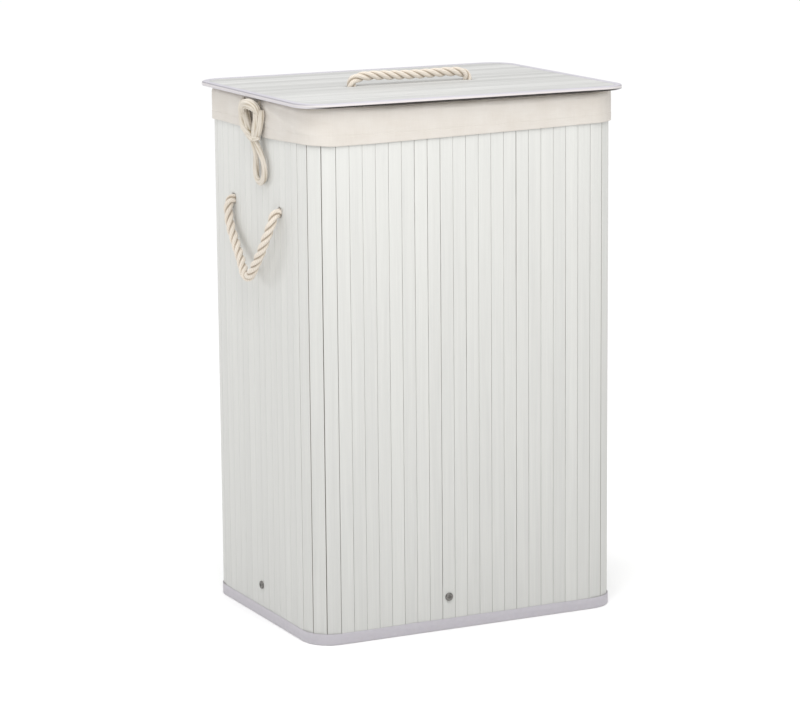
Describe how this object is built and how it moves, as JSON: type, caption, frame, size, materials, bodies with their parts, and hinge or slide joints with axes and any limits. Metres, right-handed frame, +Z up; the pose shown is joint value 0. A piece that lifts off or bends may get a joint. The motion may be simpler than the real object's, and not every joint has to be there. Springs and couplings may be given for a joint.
{
  "type": "laundry hamper with lid",
  "caption": "Rectangular slatted laundry hamper with rounded corners, a cotton liner folded over the rim, rope handles at both ends and a flat lift-off lid with a rope handle.",
  "frame": {"origin": "on the ground, under the middle of the hamper", "axes": "+Z up; -Y out of the long front wall; -X out of the short left wall, where the liner's drawstring is tied"},
  "size_m": [0.466, 0.335, 0.6743],
  "materials": {
    "white_bamboo": "satin paint over split bamboo",
    "bare_wood": "planed softwood",
    "hardboard": "pressed wood fibre",
    "backing_cloth": "matt woven cotton",
    "edge_tape": "matt woven tape",
    "liner_cotton": "matt woven cotton",
    "cotton_rope": "twisted cotton",
    "screw_steel": "zinc plated"
  },
  "bodies": {
    "hamper": {"back_base_rail": "bare_wood", "back_left_corner_slats": "white_bamboo", "back_right_corner_slats": "white_bamboo", "back_rim_rail": "bare_wood", "back_slats": "white_bamboo", "base_panel": "hardboard", "base_panel_screws": "screw_steel", "base_screws": "screw_steel", "bottom_binding": "edge_tape", "drawstring_far_strand": "liner_cotton", "drawstring_knot": "liner_cotton", "drawstring_loop": "liner_cotton", "drawstring_near_strand": "liner_cotton", "front_base_rail": "bare_wood", "front_left_corner_slats": "white_bamboo", "front_right_corner_slats": "white_bamboo", "front_rim_rail": "bare_wood", "front_slats": "white_bamboo", "left_base_rail": "bare_wood", "left_handle_knots": "cotton_rope", "left_rim_rail": "bare_wood", "left_slats": "white_bamboo", "liner_bag": "liner_cotton", "liner_cuff": "liner_cotton", "right_base_rail": "bare_wood", "right_handle_knots": "cotton_rope", "right_rim_rail": "bare_wood", "right_slats": "white_bamboo", "top_binding": "edge_tape", "wall_cloth": "backing_cloth"},
    "lid": {"lid_board": "hardboard", "lid_slats": "white_bamboo", "lid_lining": "backing_cloth", "lid_binding": "edge_tape", "left_lid_batten": "bare_wood", "right_lid_batten": "bare_wood", "lid_batten_screws": "screw_steel", "lid_handle_knots": "cotton_rope"},
    "left_handle": {"left_handle_rope": "cotton_rope"},
    "right_handle": {"right_handle_rope": "cotton_rope"},
    "lid_handle": {"lid_handle_rope": "cotton_rope"}
  },
  "joints": [
    {"name": "lid_lift", "type": "slide", "parent": "hamper", "child": "lid", "axis": [0, 0, 1], "range_m": [0, 0.2]},
    {"name": "left_handle_swing", "type": "hinge", "parent": "hamper", "child": "left_handle", "pos_m": [-0.2128, 0, 0.514], "axis": [0, 1, 0], "range_deg": [0, 150]},
    {"name": "right_handle_swing", "type": "hinge", "parent": "hamper", "child": "right_handle", "pos_m": [0.2128, 0, 0.514], "axis": [0, -1, 0], "range_deg": [0, 150]},
    {"name": "lid_handle_swing", "type": "hinge", "parent": "lid", "child": "lid_handle", "pos_m": [0, 0, 0.6562], "axis": [1, 0, 0], "range_deg": [-75, 75]}
  ]
}
